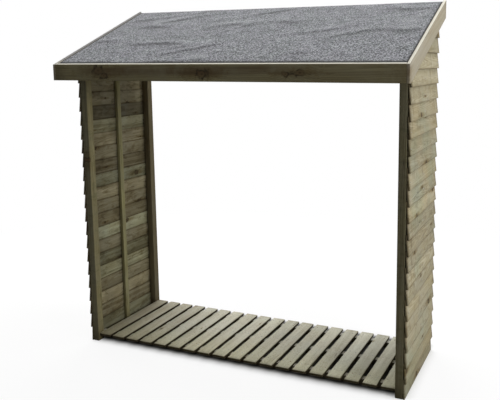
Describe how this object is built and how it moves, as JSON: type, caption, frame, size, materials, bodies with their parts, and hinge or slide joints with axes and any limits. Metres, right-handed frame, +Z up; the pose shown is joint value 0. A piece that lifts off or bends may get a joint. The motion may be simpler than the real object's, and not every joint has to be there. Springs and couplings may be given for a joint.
{
  "type": "log store",
  "caption": "Open timber log store: two sides of lapped boards on posts, a slatted floor on bearers and a felted roof that falls to the front, open at front and back.",
  "frame": {"origin": "on the ground, under the middle of the whole, half-way between the roof's front and rear edges", "axes": "+X to the right seen from the front, along the front; +Y from the front to the back; +Z up"},
  "size_m": [1.8616, 0.742, 1.85],
  "materials": {
    "post_timber": "planed pressure-treated softwood, weathered",
    "cladding": "sawn pressure-treated softwood, weathered",
    "roof_timber": "sawn pressure-treated softwood",
    "roof_sheet": "pressed strand board",
    "felt": "mineral-faced roofing felt",
    "edge_boards": "planed pressure-treated softwood, weathered",
    "bearers": "sawn pressure-treated softwood",
    "slats": "sawn pressure-treated softwood, weathered grey"
  },
  "bodies": {
    "root": {"left_front_post": "post_timber", "left_middle_batten": "post_timber", "left_rear_post": "post_timber", "right_front_post": "post_timber", "right_middle_batten": "post_timber", "right_rear_post": "post_timber", "left_lower_boards": "cladding", "left_middle_boards": "cladding", "left_upper_boards": "cladding", "right_lower_boards": "cladding", "right_middle_boards": "cladding", "right_upper_boards": "cladding", "left_rafter": "roof_timber", "right_rafter": "roof_timber", "front_purlin": "roof_timber", "middle_purlin": "roof_timber", "rear_purlin": "roof_timber", "roof_deck": "roof_sheet", "roof_felt": "felt", "front_fascia": "edge_boards", "rear_fascia": "edge_boards", "left_barge": "edge_boards", "right_barge": "edge_boards", "front_bearer": "bearers", "middle_bearer": "bearers", "rear_bearer": "bearers", "floor_slat_01": "slats", "floor_slat_02": "slats", "floor_slat_03": "slats", "floor_slat_04": "slats", "floor_slat_05": "slats", "floor_slat_06": "slats", "floor_slat_07": "slats", "floor_slat_08": "slats", "floor_slat_09": "slats", "floor_slat_10": "slats", "floor_slat_11": "slats", "floor_slat_12": "slats", "floor_slat_13": "slats", "floor_slat_14": "slats", "floor_slat_15": "slats", "floor_slat_16": "slats", "floor_slat_17": "slats", "floor_slat_18": "slats", "floor_slat_19": "slats"}
  },
  "joints": []
}
